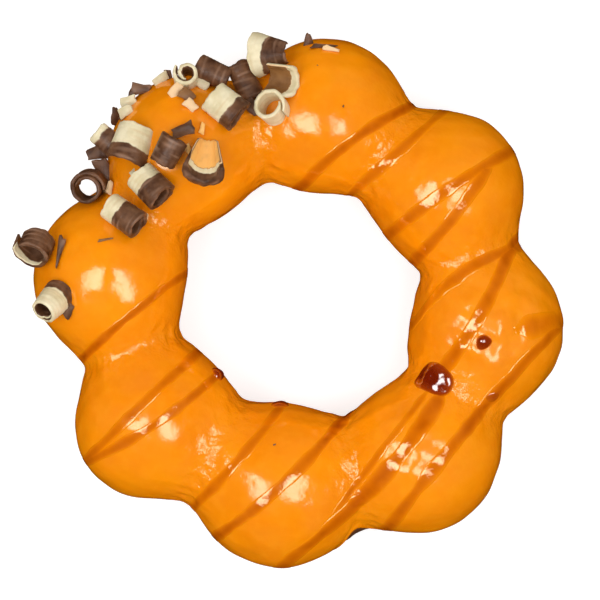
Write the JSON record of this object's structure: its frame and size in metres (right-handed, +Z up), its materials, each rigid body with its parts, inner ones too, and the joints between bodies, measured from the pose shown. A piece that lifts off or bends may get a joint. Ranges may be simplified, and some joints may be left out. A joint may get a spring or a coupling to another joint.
{
  "type": "mochi doughnut",
  "caption": "Mochi doughnut: a ring of joined balls of fried dough under glossy orange glaze, with lines of caramel and rolled two-tone chocolate curls along one side.",
  "frame": {"origin": "middle of the underside: the centre of the bounding box in plan, at the level it rests on", "axes": "+Z up along the hole; the curls lie on the -X +Y side"},
  "size_m": [0.0948, 0.0922, 0.0299],
  "materials": {
    "glaze": "glossy orange sugar glaze",
    "dough": "golden-brown fried dough",
    "caramel": "clear glossy caramel",
    "dark_chocolate": "satin dark chocolate, part cream",
    "cream_chocolate": "satin white chocolate, part dark"
  },
  "bodies": {
    "root": {"doughnut": "glaze", "curl_01": "dark_chocolate", "curl_02": "cream_chocolate", "curl_03": "dark_chocolate", "curl_04": "dark_chocolate", "curl_05": "dark_chocolate", "curl_06": "cream_chocolate", "curl_07": "cream_chocolate", "curl_08": "dark_chocolate", "curl_09": "cream_chocolate", "curl_10": "cream_chocolate", "curl_11": "cream_chocolate", "curl_12": "cream_chocolate", "curl_13": "dark_chocolate", "curl_14": "dark_chocolate", "curl_15": "dark_chocolate", "curl_16": "dark_chocolate"}
  },
  "joints": []
}
